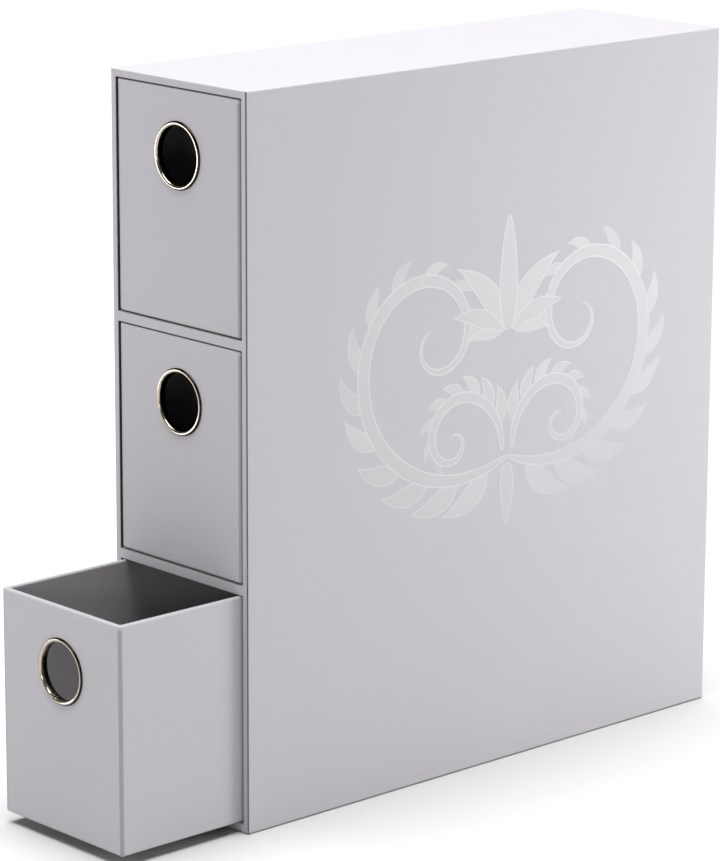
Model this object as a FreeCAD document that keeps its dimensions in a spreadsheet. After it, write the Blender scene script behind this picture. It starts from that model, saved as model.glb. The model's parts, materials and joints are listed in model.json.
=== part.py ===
import FreeCAD, Part

# Card storage box: a tall cabinet of paper-covered board with three drawers, each with a metal finger ring.
# Frame: X across the narrow front, Y from front to back, Z up. The origin is the middle of the base.
# Each drawer is drawn in a frame of its own: the middle of its front face's lower edge, +Y to its back.

import os
import re

import Sketcher

TOLERANCE = 0.001

# Driving dimensions in millimetres, and two angles of the finger ring in degrees
SIZES = {
    # Cabinet, over its covering papers
    "case_width": 92.6,
    "case_depth": 304.0,
    "case_height": 340.0,
    # Greyboard of the cabinet: sides, top and back; bottom; shelves; rounding of its long edges
    "wall_board": 3.0,
    "base_board": 4.0,
    "shelf_board": 4.5,
    "case_edge_radius": 0.5,
    # Papers: covering paper, dark lining, the sheet that the box stands on, stay tape
    "paper": 0.2,
    "lining": 0.2,
    "base_sheet": 0.3,
    "tape": 0.1,
    "tape_leg": 12.0,
    "tape_end": 3.0,
    # Where the cabinet's papers end: turn-ins, and how far the flat sheets stay back from the edges
    "back_turn_in": 15.0,
    "base_turn_in": 18.0,
    "mouth_turn_in": 12.0,
    "sheet_margin": 3.0,
    "trim_seam": 0.35,
    # Drawers: their greyboard and its rounding, their room in a bay, their papers
    "drawer_board": 2.0,
    "drawer_edge_radius": 0.9,
    "drawer_side_gap": 1.0,
    "drawer_top_gap": 0.85,
    "drawer_floor_gap": 0.35,
    "drawer_back_gap": 0.4,
    "rim_turn_in": 12.0,
    "lining_drop": 1.0,
    "open_distance": 70.0,
    # Finger ring: its centre below the rim, hole, metal, play in the board, front and back beads, seam
    "ring_drop": 29.8,
    "ring_hole_radius": 13.2,
    "ring_metal": 0.45,
    "ring_play": 0.15,
    "ring_front_width": 2.4,
    "ring_front_rise": 0.9,
    "ring_back_width": 2.0,
    "ring_back_rise": 0.75,
    "ring_seam_angle": 1.4,
    "ring_seam_turn": 160.0,
}

# Places worked out from the driving dimensions
PLACES = {
    # Faces of the cabinet, from its papers inwards
    "front": "-case_depth / 2",
    "wrap_inside": "case_width / 2 - paper",
    "wrap_low": "base_sheet + paper",
    "wrap_high": "case_height - paper",
    "board_front": "front + paper",
    "board_back": "case_depth / 2 - 2 * paper",
    "wrap_back": "board_back + paper",
    "board_side": "wrap_inside - tape",
    "board_bottom": "wrap_low + tape",
    "board_top": "wrap_high - tape",
    "back_board_front": "board_back - wall_board",
    "bay_side": "board_side - wall_board",
    "case_inner_bend": "case_edge_radius + tape",
    "case_outer_bend": "case_inner_bend + paper",
    "through_paper": "2 * paper",
    # Bays between the boards, and the papers on their walls
    "lowest_bay": "board_bottom + base_board",
    "bay_height": "(board_top - wall_board - lowest_bay - 2 * shelf_board) / 3",
    "bay_pitch": "bay_height + shelf_board",
    "bay_skin": "max(paper; lining)",
    # Drawers, over their covering paper, and the depths of the layers of their walls
    "drawer_width": "2 * (bay_side - bay_skin - drawer_side_gap)",
    "drawer_height": "bay_height - 2 * bay_skin - drawer_floor_gap - drawer_top_gap",
    "drawer_depth": "back_board_front - bay_skin - drawer_back_gap - front",
    "drawer_lift": "lowest_bay + bay_skin + drawer_floor_gap",
    "cover": "paper + tape",
    "wall_inside": "cover + drawer_board",
    "turn_in_inside": "wall_inside + paper",
    "lining_inside": "turn_in_inside + lining",
    "floor_top": "paper + drawer_board",
    "drawer_inner_bend": "drawer_edge_radius + tape",
    "drawer_outer_bend": "drawer_inner_bend + paper",
    # Finger ring
    "ring_height": "drawer_height - ring_drop",
    "ring_barrel_radius": "ring_hole_radius + ring_metal",
    "finger_hole_radius": "ring_barrel_radius + ring_play",
}

doc = FreeCAD.newDocument("card_storage_box")


def make_sheet(name, cells):
    """A spreadsheet with one named cell for each size."""
    sheet = doc.addObject("Spreadsheet::Sheet", name)
    for row, (alias, content) in enumerate(cells.items(), start=1):
        sheet.set("A%d" % row, alias)
        sheet.set("B%d" % row, content)
        sheet.setAlias("B%d" % row, alias)
    doc.recompute()
    return sheet


def full_name(match):
    """The name of a size or place led by the name of its sheet, and any other word as it is."""
    word = match.group()
    if word in SIZES:
        return "sizes." + word
    if word in PLACES:
        return "places." + word
    return word


def full_names(expression):
    """The expression with the sheets' names in it."""
    return re.sub(r"[a-z_]+", full_name, expression)


make_sheet("sizes", {alias: str(size) for alias, size in SIZES.items()})
places = make_sheet("places", {alias: "=" + full_names(text) for alias, text in PLACES.items()})


def number(expression):
    """The present value of an expression."""
    return float(places.evalExpression(full_names(expression)))


def bind(item, path, expression):
    """Ties one property to an expression of the named sizes."""
    item.setExpression(path, full_names(expression))


# Sketches, features and edge choices that the pieces share


def make_body(name, place=("0", "0", "0")):
    """An empty body at a place given as three expressions."""
    body = doc.addObject("PartDesign::Body", name)
    body.Label = name
    for axis, expression in zip("xyz", place):
        bind(body, "Placement.Base." + axis, expression)
    return body


def make_sketch(body, name, role, offset="0"):
    """A sketch on one of the body's own origin planes, moved along the plane's normal."""
    sketch = body.newObject("Sketcher::SketchObject", body.Name + "_" + name)
    plane = next(item for item in body.Origin.OriginFeatures if item.Role == role)
    sketch.AttachmentSupport = [(plane, "")]
    sketch.MapMode = "FlatFace"
    bind(sketch, "AttachmentOffset.Base.z", offset)
    return sketch


def fix(sketch, kind, geometry, point, expression):
    """Holds one coordinate of a point of the sketch at an expression."""
    index = sketch.addConstraint(Sketcher.Constraint(kind, -1, 1, geometry, point, number(expression)))
    bind(sketch, "Constraints[%d]" % index, expression)


def add_outline(sketch, points):
    """A closed outline of straight lines through points given as pairs of expressions."""
    first = len(sketch.Geometry)
    corners = [FreeCAD.Vector(number(across), number(up), 0) for across, up in points]
    count = len(corners)
    for index, corner in enumerate(corners):
        sketch.addGeometry(Part.LineSegment(corner, corners[(index + 1) % count]))
    for index, (across, up) in enumerate(points):
        line = first + index
        sketch.addConstraint(Sketcher.Constraint("Coincident", line, 2, first + (index + 1) % count, 1))
        fix(sketch, "DistanceX", line, 1, across)
        fix(sketch, "DistanceY", line, 1, up)


def add_rectangle(sketch, left, right, low, high):
    """A rectangle between two places across and two places up."""
    add_outline(sketch, [(left, low), (right, low), (right, high), (left, high)])


def add_centred(sketch, half, low, high):
    """A rectangle of one half width to each side of the sketch's middle line."""
    add_rectangle(sketch, "-( %s )" % half, half, low, high)


def add_circle(sketch, up, radius):
    """A circle on the sketch's middle line."""
    centre = FreeCAD.Vector(0, number(up), 0)
    circle = sketch.addGeometry(Part.Circle(centre, FreeCAD.Vector(0, 0, 1), number(radius)))
    fix(sketch, "DistanceX", circle, 3, "0")
    fix(sketch, "DistanceY", circle, 3, up)
    index = sketch.addConstraint(Sketcher.Constraint("Radius", circle, number(radius)))
    bind(sketch, "Constraints[%d]" % index, radius)


def extrude(kind, body, sketch, length, backward=False):
    """A pad along the sketch's normal or a pocket against it, or the other way round."""
    feature = body.newObject("PartDesign::" + kind, sketch.Name + "_" + kind.lower())
    feature.Profile = sketch
    feature.Reversed = backward
    bind(feature, "Length", length)
    doc.recompute()
    return feature


def pad(body, sketch, length, backward=False):
    """Adds the sketch's area over a length."""
    return extrude("Pad", body, sketch, length, backward)


def pocket(body, sketch, length, backward=False):
    """Cuts the sketch's area over a length, and makes sure that something was cut."""
    before = body.Tip.Shape.Volume
    feature = extrude("Pocket", body, sketch, length, backward)
    if not feature.Shape.Volume < before:
        raise RuntimeError(feature.Name + " cuts nothing")
    return feature


def round_corners(body, name, planes, radius):
    """Rounds each straight edge where two of the given planes meet, each an axis and a place."""
    flat = [("xyz".index(axis), number(place)) for axis, place in planes]
    base = body.Tip
    chosen = []
    for index, edge in enumerate(base.Shape.Edges, start=1):
        ends = [vertex.Point for vertex in edge.Vertexes]
        meeting = [axis for axis, place in flat if all(abs(end[axis] - place) < TOLERANCE for end in ends)]
        if len(meeting) == 2:
            chosen.append("Edge%d" % index)
    fillet = body.newObject("PartDesign::Fillet", body.Name + "_" + name)
    fillet.Base = (base, chosen)
    bind(fillet, "Radius", radius)
    doc.recompute()
    return fillet


def make_slab(name, across, along, up, place=("0", "0", "0"), planes=(), radius="0"):
    """A board between two places on each axis, rounded where two outer planes of its box meet."""
    body = make_body(name, place)
    sketch = make_sketch(body, "outline", "XY_Plane", up[0])
    add_rectangle(sketch, across[0], across[1], along[0], along[1])
    pad(body, sketch, "%s - ( %s )" % (up[1], up[0]))
    if planes:
        round_corners(body, "edges", planes, radius)
    return body


def add_angle(sketch, corner, inward):
    """The L-shaped section of a corner tape, from its corner's two places and the way each leg runs."""
    (corner_x, corner_y), (step_x, step_y) = corner, inward
    skin_x, end_x = ("%s + ( %d ) * %s" % (corner_x, step_x, size) for size in ("tape", "tape_leg"))
    skin_y, end_y = ("%s + ( %d ) * %s" % (corner_y, step_y, size) for size in ("tape", "tape_leg"))
    points = [
        (corner_x, corner_y),
        (end_x, corner_y),
        (end_x, skin_y),
        (skin_x, skin_y),
        (skin_x, end_y),
        (corner_x, end_y),
    ]
    add_outline(sketch, points)


def round_tapes(body, planes, radius):
    """Bends the four tapes round the boards' corners, outside at the planes and inside a tape further in."""
    round_corners(body, "outside", planes, radius + " + tape")
    inner = []
    for axis, place in planes:
        middle = sum(number(other) for key, other in planes if key == axis) / 2
        step = "-" if number(place) > middle else "+"
        inner.append((axis, "%s %s tape" % (place, step)))
    round_corners(body, "inside", inner, radius)


# Cabinet: boards

CASE_BOARD_PLANES = [
    ("x", "-board_side"),
    ("x", "board_side"),
    ("y", "board_back"),
    ("z", "board_bottom"),
    ("z", "board_top"),
]
BAY_NAMES = ["lower", "middle", "upper"]


def case_board(name, across, along, up):
    """One board of the cabinet, with the cabinet's outer edges eased."""
    return make_slab(name, across, along, up, planes=CASE_BOARD_PLANES, radius="case_edge_radius")


def bay_floor(level):
    """Height of the upper face of the board under one bay."""
    return "lowest_bay + %d * bay_pitch" % level


FULL_DEPTH = ("board_front", "board_back")
BETWEEN_SIDES = ("-bay_side", "bay_side")

case_board("case_left_board", ("-board_side", "-bay_side"), FULL_DEPTH, ("board_bottom", "board_top"))
case_board("case_right_board", ("bay_side", "board_side"), FULL_DEPTH, ("board_bottom", "board_top"))
case_board("case_top_board", BETWEEN_SIDES, FULL_DEPTH, ("board_top - wall_board", "board_top"))
case_board("case_bottom_board", BETWEEN_SIDES, FULL_DEPTH, ("board_bottom", "lowest_bay"))
make_slab(
    "case_back_board",
    BETWEEN_SIDES,
    ("back_board_front", "board_back"),
    ("lowest_bay", "board_top - wall_board"),
)
for level, name in ((1, "lower_shelf_board"), (2, "upper_shelf_board")):
    make_slab(
        name,
        BETWEEN_SIDES,
        ("board_front", "back_board_front"),
        (bay_floor(level) + " - shelf_board", bay_floor(level)),
    )


# Cabinet: tapes along the four long corners


WRAP_PLANES = [("x", "-wrap_inside"), ("x", "wrap_inside"), ("z", "wrap_low"), ("z", "wrap_high")]


def case_corner_tapes():
    """Angle strips of paper tape between the boards and the outer wrap."""
    body = make_body("case_corner_tapes")
    sketch = make_sketch(body, "angles", "XZ_Plane", "-( board_front + tape_end )")
    for corner_x, step_x in (("-wrap_inside", 1), ("wrap_inside", -1)):
        for corner_z, step_z in (("wrap_low", 1), ("wrap_high", -1)):
            add_angle(sketch, (corner_x, corner_z), (step_x, step_z))
    pad(body, sketch, "board_back - board_front - 2 * tape_end", backward=True)
    round_tapes(body, WRAP_PLANES, "case_edge_radius")


case_corner_tapes()


# Cabinet: covering papers


def case_outer_wrap():
    """One sheet over both sides and the top, turned under the bottom and onto the back."""
    body = make_body("case_outer_wrap")
    outside = make_sketch(body, "outside", "XZ_Plane", "-front")
    add_centred(outside, "case_width / 2", "base_sheet", "case_height")
    pad(body, outside, "wrap_back - front", backward=True)
    inside = make_sketch(body, "inside", "XZ_Plane", "-front")
    add_centred(inside, "wrap_inside", "wrap_low", "wrap_high")
    pocket(body, inside, "board_back - front")
    round_corners(body, "inner_edges", WRAP_PLANES + [("y", "board_back")], "case_inner_bend")
    outer = [
        ("x", "-case_width / 2"),
        ("x", "case_width / 2"),
        ("y", "wrap_back"),
        ("z", "base_sheet"),
        ("z", "case_height"),
    ]
    round_corners(body, "outer_edges", outer, "case_outer_bend")

    window = make_sketch(body, "back_window", "XZ_Plane", "-board_back")
    add_centred(window, "case_width / 2 - back_turn_in", "0", "case_height - back_turn_in")
    pocket(body, window, "through_paper")

    window = make_sketch(body, "base_window", "XY_Plane", "wrap_low")
    add_centred(window, "case_width / 2 - base_turn_in", "front - paper", "wrap_back + paper")
    pocket(body, window, "through_paper")


def case_front_trim():
    """Front sheet with a window for each bay, whose flaps turn into the bay."""
    body = make_body("case_front_trim")
    sheet = make_sketch(body, "sheet", "XZ_Plane", "-front")
    half = "wrap_inside - trim_seam"
    add_centred(sheet, half, "wrap_low", "wrap_high")
    pad(body, sheet, "paper", backward=True)
    corners = [("x", "-( %s )" % half), ("x", half), ("z", "wrap_low"), ("z", "wrap_high")]
    round_corners(body, "corners", corners, "case_inner_bend")

    flaps = make_sketch(body, "flaps", "XZ_Plane", "-front")
    windows = make_sketch(body, "windows", "XZ_Plane", "-front")
    for level in range(len(BAY_NAMES)):
        floor = bay_floor(level)
        add_centred(flaps, "bay_side", floor, floor + " + bay_height")
        add_centred(windows, "bay_side - paper", floor + " + paper", floor + " + bay_height - paper")
    pad(body, flaps, "paper + mouth_turn_in", backward=True)
    pocket(body, windows, "2 * paper + mouth_turn_in")


def case_back_sheet():
    """Sheet that closes the back over the turn-ins of the outer wrap, and fills the window between them."""
    body = make_body("case_back_sheet")
    low = "base_sheet + sheet_margin"
    cover = make_sketch(body, "cover", "XZ_Plane", "-wrap_back")
    add_centred(cover, "case_width / 2 - sheet_margin", low, "case_height - sheet_margin")
    pad(body, cover, "paper", backward=True)
    middle = make_sketch(body, "middle", "XZ_Plane", "-board_back")
    add_centred(middle, "case_width / 2 - back_turn_in", low, "case_height - back_turn_in")
    pad(body, middle, "paper", backward=True)


def case_base_sheet():
    """Sheet that closes the bottom between the turn-ins, and that the box stands on."""
    body = make_body("case_base_sheet")
    back = "case_depth / 2 - sheet_margin"
    cover = make_sketch(body, "cover", "XY_Plane")
    add_centred(cover, "case_width / 2 - sheet_margin", "-( %s )" % back, back)
    pad(body, cover, "base_sheet")
    middle = make_sketch(body, "middle", "XY_Plane", "base_sheet")
    add_centred(middle, "case_width / 2 - base_turn_in", "-( %s )" % back, back)
    pad(body, middle, "board_bottom - base_sheet")


def bay_lining(level):
    """Dark paper on the four walls and the back of one bay, behind the flaps of the front trim."""
    body = make_body(BAY_NAMES[level] + "_bay_lining")
    mouth = "board_front + mouth_turn_in"
    floor = bay_floor(level)
    outside = make_sketch(body, "outside", "XZ_Plane", "-( %s )" % mouth)
    add_centred(outside, "bay_side", floor, floor + " + bay_height")
    pad(body, outside, "back_board_front - ( %s )" % mouth, backward=True)
    inside = make_sketch(body, "inside", "XZ_Plane", "-( %s )" % mouth)
    add_centred(inside, "bay_side - lining", floor + " + lining", floor + " + bay_height - lining")
    pocket(body, inside, "back_board_front - lining - ( %s )" % mouth)


case_outer_wrap()
case_front_trim()
case_back_sheet()
case_base_sheet()
for level in range(len(BAY_NAMES)):
    bay_lining(level)


# Drawers: the pieces of one drawer, drawn in the drawer's own frame

HALF_WIDTH = "drawer_width / 2"


def inset(depth):
    """Left, right, front and back places, one depth inside the drawer's outer faces."""
    side = "%s - ( %s )" % (HALF_WIDTH, depth)
    return "-( %s )" % side, side, depth, "drawer_depth - ( %s )" % depth


def box_planes(depth, low):
    """The outer planes of a box inside the drawer: its four sides and its underside."""
    left, right, front, back = inset(depth)
    return [("x", left), ("x", right), ("y", front), ("y", back), ("z", low)]


def cut_finger_hole(body, start, length):
    """The round finger hole through a piece of the drawer's front wall."""
    sketch = make_sketch(body, "finger_hole", "XZ_Plane", "-( %s )" % start)
    add_circle(sketch, "ring_height", "finger_hole_radius")
    pocket(body, sketch, length)


def drawer_boards(prefix, place):
    """Two long side boards, the front and the back between them, and the floor between all four."""
    left, right, front, back = inset("cover")
    inner_left, inner_right, inner_front, inner_back = inset("wall_inside")
    height = ("paper", "drawer_height - paper")
    planes = box_planes("cover", "paper")
    spans = {
        "left_board": ((left, inner_left), (front, back), height),
        "right_board": ((inner_right, right), (front, back), height),
        "front_board": ((inner_left, inner_right), (front, inner_front), height),
        "back_board": ((inner_left, inner_right), (inner_back, back), height),
    }
    for name, (across, along, up) in spans.items():
        body = make_slab(prefix + name, across, along, up, place, planes, "drawer_edge_radius")
        if name == "front_board":
            cut_finger_hole(body, front, "drawer_board")
    floor = ("paper", "floor_top")
    make_slab(prefix + "bottom_board", (inner_left, inner_right), (inner_front, inner_back), floor, place)


def drawer_corner_tapes(prefix, place):
    """Angle strips of paper tape on the four upright corners, under the outer wrap."""
    body = make_body(prefix + "corner_tapes", place)
    left, right, front, back = inset("paper")
    sketch = make_sketch(body, "angles", "XY_Plane", "tape_end")
    for corner_x, step_x in ((left, 1), (right, -1)):
        for corner_y, step_y in ((front, 1), (back, -1)):
            add_angle(sketch, (corner_x, corner_y), (step_x, step_y))
    pad(body, sketch, "drawer_height - 2 * tape_end")
    round_tapes(body, [("x", left), ("x", right), ("y", front), ("y", back)], "drawer_edge_radius")


def drawer_outer_wrap(prefix, place):
    """Covering paper under the floor and up the four walls, folded over the rim and turned in."""
    body = make_body(prefix + "outer_wrap", place)
    outside = make_sketch(body, "outside", "XY_Plane")
    add_rectangle(outside, *inset("0"))
    pad(body, outside, "drawer_height")

    mouth = make_sketch(body, "mouth", "XY_Plane", "drawer_height")
    add_rectangle(mouth, *inset("turn_in_inside"))
    pocket(body, mouth, "drawer_height - paper")

    below = make_sketch(body, "below_turn_in", "XY_Plane", "paper")
    add_rectangle(below, *inset("paper"))
    pocket(body, below, "drawer_height - rim_turn_in - paper", backward=True)

    rim = make_sketch(body, "board_slot", "XY_Plane", "drawer_height - rim_turn_in")
    add_rectangle(rim, *inset("paper"))
    add_rectangle(rim, *inset("wall_inside"))
    pocket(body, rim, "rim_turn_in - paper", backward=True)
    round_corners(body, "inner_edges", box_planes("paper", "paper"), "drawer_inner_bend")
    round_corners(body, "outer_edges", box_planes("0", "0"), "drawer_outer_bend")
    cut_finger_hole(body, "0", "through_paper")


def drawer_wall_lining(prefix, place):
    """Dark paper on the inside of the four walls, over the turn-ins, from just below the rim."""
    body = make_body(prefix + "wall_lining", place)
    against_boards = make_sketch(body, "against_boards", "XY_Plane", "floor_top")
    add_rectangle(against_boards, *inset("wall_inside"))
    pad(body, against_boards, "drawer_height - rim_turn_in - floor_top")
    over_turn_ins = make_sketch(body, "over_turn_ins", "XY_Plane", "floor_top")
    add_rectangle(over_turn_ins, *inset("turn_in_inside"))
    pad(body, over_turn_ins, "drawer_height - lining_drop - floor_top")
    room = make_sketch(body, "room", "XY_Plane", "floor_top")
    add_rectangle(room, *inset("lining_inside"))
    pocket(body, room, "drawer_height - floor_top", backward=True)
    cut_finger_hole(body, "wall_inside", "lining_inside - wall_inside")


def drawer_floor_lining(prefix, place):
    """Dark paper on the drawer's floor, inside the wall lining."""
    left, right, front, back = inset("lining_inside")
    floor = ("floor_top", "floor_top + lining")
    make_slab(prefix + "floor_lining", (left, right), (front, back), floor, place)


# Drawers: the finger ring, a rolled channel whose beads grip both faces of the front wall


def bead_radius(width, rise):
    """Radius of the arc over a bead of that width and rise."""
    return "( ( {0} ) * ( {0} ) / 4 + ( {1} ) * ( {1} ) ) / ( 2 * ( {1} ) )".format(width, rise)


def arc_over(start, top, end):
    """The arc through three points, from whichever end makes it run anticlockwise."""
    if (top - start).cross(end - top).z < 0:
        start, end = end, start
    return Part.Arc(start, top, end)


def vertex_at(sketch, geometry, point):
    """The number of the end of a line or arc that lies at a point."""
    start = sketch.Geometry[geometry].StartPoint
    return 1 if start.distanceToPoint(point) < TOLERANCE else 2


def add_ring_section(sketch):
    """The channel section: along the sketch the ring's axis, up the sketch the radius."""
    front_rim = "ring_hole_radius + ring_front_width"
    back_rim = "ring_hole_radius + ring_back_width"
    corners = [
        ("0", front_rim),
        ("0", "ring_hole_radius"),
        ("lining_inside", "ring_hole_radius"),
        ("lining_inside", back_rim),
        ("lining_inside", back_rim + " - ring_metal"),
        ("lining_inside", "ring_barrel_radius"),
        ("0", "ring_barrel_radius"),
        ("0", front_rim + " - ring_metal"),
    ]
    # The bead over each stretch that is an arc: the side it rises to, its width and its rise
    beads = {
        0: (-1, "ring_front_width", "ring_front_rise"),
        2: (1, "ring_back_width", "ring_back_rise"),
        4: (1, "ring_back_width - 2 * ring_metal", "ring_back_rise - ring_metal"),
        6: (-1, "ring_front_width - 2 * ring_metal", "ring_front_rise - ring_metal"),
    }
    points = [FreeCAD.Vector(number(along), number(radius), 0) for along, radius in corners]
    count = len(points)
    for index, start in enumerate(points):
        end = points[(index + 1) % count]
        if index in beads:
            side, width, rise = beads[index]
            top = (start + end) / 2 + FreeCAD.Vector(side * number(rise), 0, 0)
            sketch.addGeometry(arc_over(start, top, end))
        else:
            sketch.addGeometry(Part.LineSegment(start, end))
    for index, (along, radius) in enumerate(corners):
        before = (index - 1) % count
        joint = points[index]
        here = vertex_at(sketch, index, joint)
        there = vertex_at(sketch, before, joint)
        sketch.addConstraint(Sketcher.Constraint("Coincident", index, here, before, there))
        fix(sketch, "DistanceX", index, here, along)
        fix(sketch, "DistanceY", index, here, radius)
    for index, (side, width, rise) in beads.items():
        radius = bead_radius(width, rise)
        constraint = sketch.addConstraint(Sketcher.Constraint("Radius", index, number(radius)))
        bind(sketch, "Constraints[%d]" % constraint, radius)


def drawer_finger_ring(prefix, place):
    """The ring, centred on the finger hole, with the butt seam of its strip turned down to one side."""
    across, along, up = place
    body = make_body(prefix + "finger_ring", (across, along, up + " + ring_height"))
    body.Placement.Rotation = FreeCAD.Rotation(FreeCAD.Vector(0, -1, 0), 1)
    bind(body, "Placement.Rotation.Angle", "ring_seam_turn * 1deg")
    section = make_sketch(body, "section", "YZ_Plane")
    add_ring_section(section)
    ring = body.newObject("PartDesign::Revolution", body.Name + "_turned")
    ring.Profile = section
    ring.ReferenceAxis = (section, ["H_Axis"])
    bind(ring, "Angle", "360deg - ring_seam_angle * 1deg")


def make_drawer(level, pulled_out):
    """All pieces of the drawer of one bay, at their distance out of the cabinet."""
    prefix = BAY_NAMES[level] + "_drawer_"
    place = ("0", "front - ( %s )" % pulled_out, "drawer_lift + %d * bay_pitch" % level)
    drawer_boards(prefix, place)
    drawer_corner_tapes(prefix, place)
    drawer_outer_wrap(prefix, place)
    drawer_wall_lining(prefix, place)
    drawer_floor_lining(prefix, place)
    drawer_finger_ring(prefix, place)


make_drawer(0, "open_distance")
make_drawer(1, "0")
make_drawer(2, "0")


# Check every object, then write each piece to its own file

doc.recompute()
failed = [item.Name for item in doc.Objects if {"Invalid", "Error"} & set(item.State)]
if failed:
    raise RuntimeError("failed objects: " + ", ".join(failed))

bodies = [item for item in doc.Objects if item.TypeId == "PartDesign::Body"]
for body in bodies:
    if body.Shape.isNull() or not body.Shape.isValid():
        raise RuntimeError("bad shape: " + body.Label)

os.makedirs("parts", exist_ok=True)
for body in bodies:
    body.Shape.exportStep(os.path.join("parts", body.Label + ".step"))
    print("%-32s solids %d volume %.3f" % (body.Label, len(body.Shape.Solids), body.Shape.Volume))
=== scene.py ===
# Looks of the card storage box: covering papers, dark linings, rolled finger rings and a print on the side.
# Metres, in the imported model's frame: X across the front, Y from the front to the back, Z up.

import json
import math
from functools import cache, partialmethod

import bmesh
import bpy
from bpy.props import FloatProperty, FloatVectorProperty, IntProperty, PointerProperty, StringProperty
from bpy.types import Operator, Panel, PropertyGroup
from mathutils import Matrix, Vector


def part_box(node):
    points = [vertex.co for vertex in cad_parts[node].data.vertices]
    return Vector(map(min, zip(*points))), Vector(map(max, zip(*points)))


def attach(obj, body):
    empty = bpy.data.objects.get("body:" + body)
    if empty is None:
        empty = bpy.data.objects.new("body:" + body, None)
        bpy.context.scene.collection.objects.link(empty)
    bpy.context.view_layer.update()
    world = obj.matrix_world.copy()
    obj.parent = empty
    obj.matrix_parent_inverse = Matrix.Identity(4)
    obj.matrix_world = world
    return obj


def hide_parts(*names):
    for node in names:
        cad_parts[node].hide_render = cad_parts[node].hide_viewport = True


bl_info = {
    "name": "Card Storage Box",
    "version": (1, 0, 0),
    "blender": (4, 5, 0),
    "location": "View3D > Sidebar > Card Box",
    "description": "Covers a packed card storage box with its papers, linings, finger rings and side print",
    "category": "Object",
}

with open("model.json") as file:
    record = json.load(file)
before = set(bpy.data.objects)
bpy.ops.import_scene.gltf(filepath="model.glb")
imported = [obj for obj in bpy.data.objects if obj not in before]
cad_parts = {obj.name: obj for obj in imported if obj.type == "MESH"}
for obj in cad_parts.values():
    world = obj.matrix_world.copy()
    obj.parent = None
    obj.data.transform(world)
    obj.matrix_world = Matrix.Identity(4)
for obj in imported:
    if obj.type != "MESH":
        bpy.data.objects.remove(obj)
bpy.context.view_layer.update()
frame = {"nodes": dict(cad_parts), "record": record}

LEVELS = ("lower", "middle", "upper")
CASE_LOW, CASE_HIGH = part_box("case_outer_wrap")
SLOT_OF_NODE = {part["node"]: part["material_slot"] for part in frame["record"]["subparts"]}

# Merging distance, and slack in tests of where a vertex lies
NEAR = 1e-6
# Steps of the arc at each corner of a folded paper
ARC_STEPS = 6
# Angle between faces from which an edge is a crisp one
CRISP_ANGLE = math.radians(40)
# Half the width of the square of small faces round a ring's hole, and the width of such a face
HOLE_SQUARE = 0.020
HOLE_STEP = 0.005


# Settings


def a_length(name, description, default):
    """A property for a length in metres."""
    return FloatProperty(
        name=name, description=description, default=default, unit="LENGTH", precision=5, min=0
    )


def an_angle(name, description, degrees):
    """A property for an angle, kept in radians and shown in degrees."""
    return FloatProperty(name=name, description=description, default=math.radians(degrees), subtype="ANGLE")


def a_colour(name, description, default):
    """A property for a linear colour."""
    return FloatVectorProperty(
        name=name, description=description, default=default, subtype="COLOR", size=3, min=0, max=1
    )


def a_share(name, description, default):
    """A property for a share, a tone or the strength of a light."""
    return FloatProperty(name=name, description=description, default=default, min=0)


class CoverSettings(PropertyGroup):
    """Sizes and colours of the grey covering paper, and of the shade painted on its folds."""

    paper: a_length("Paper", "Thickness of the covering paper", 0.0002)
    case_radius: a_length("Case Edge Radius", "Rounding of the cabinet's long edges", 0.0008)
    front_radius: a_length("Front Edge Radius", "Rounding of the edge round the front", 0.0006)
    front_joint: a_length("Front Joint", "Gap between the wrap and the front sheet", 0.00001)
    mouth_radius: a_length("Mouth Radius", "Rounding of the windows' edges", 0.0004)
    mouth_fall: a_length("Mouth Fall", "How far the windows sit below their bays", 0.00022)
    # Painted shade: the windows' flaps are darkened toward the fold shade colour, so the gaps round the
    # drawers read dark
    mouth_shade: a_share("Mouth Tone", "Fold's tone on the windows' flaps", 1.0)
    mouth_turn_in: a_length("Mouth Turn-in", "Depth of the windows' flaps", 0.012)
    back_turn_in: a_length("Back Turn-in", "Width of the turn-in on the back", 0.015)
    base_turn_in: a_length("Base Turn-in", "Width of the turn-in under the bottom", 0.018)
    base_strip: a_length("Base Strip", "Paper left at each end of the bottom", 0.004)
    print_room: a_length("Print Room", "Room for the print's film", 0.00005)
    drawer_radius: a_length("Drawer Edge Radius", "Rounding of the drawers' outer edges", 0.0012)
    rim_outer_radius: a_length("Rim Outer Radius", "Rounding of the rim's outer edge", 0.0008)
    rim_inner_radius: a_length("Rim Inner Radius", "Rounding of the rim's inner edge", 0.0005)
    rim_rise: a_length("Rim Rise", "How far the folded rim swells above the walls", 0.0003)
    # Painted shade on rounded edges: the drawers' rims, their upright corners and the cabinet's upright
    # front edges are darkened toward the fold shade colour
    rim_shade: a_share("Rim Tone", "Fold's tone on the rim", 0.31)
    corner_shade: a_share("Corner Tone", "Fold's tone at upright corners", 0.41)
    edge_shade: a_share("Edge Tone", "Fold's tone round the front", 0.82)
    rim_turn_in: a_length("Rim Turn-in", "Depth of the paper turned into a drawer", 0.012)
    # Width of the painted shade beside a folded edge, which is also the width of the faces that carry it
    shade_shoulder: a_length("Crease Shoulder", "Width of the tone beside a folded edge", 0.0004)
    corner_fold: a_length("Corner Fold", "Height of the folded corner under the rim", 0.0017)
    hole_radius: a_length("Hole Radius", "Radius of the papers' holes under a ring", 0.0139)
    colour: a_colour("Colour", "Main colour of the paper", (0.42, 0.4045, 0.434))
    second_colour: a_colour("Second Colour", "Cooler tone in its soft mottling", (0.415, 0.4035, 0.428))
    # Painted shade: the colour that folds, rims and windows' flaps are darkened toward
    fold_shade_colour: a_colour("Crease Colour", "Tone of a pressed fold", (0.03, 0.024, 0.03))


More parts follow.
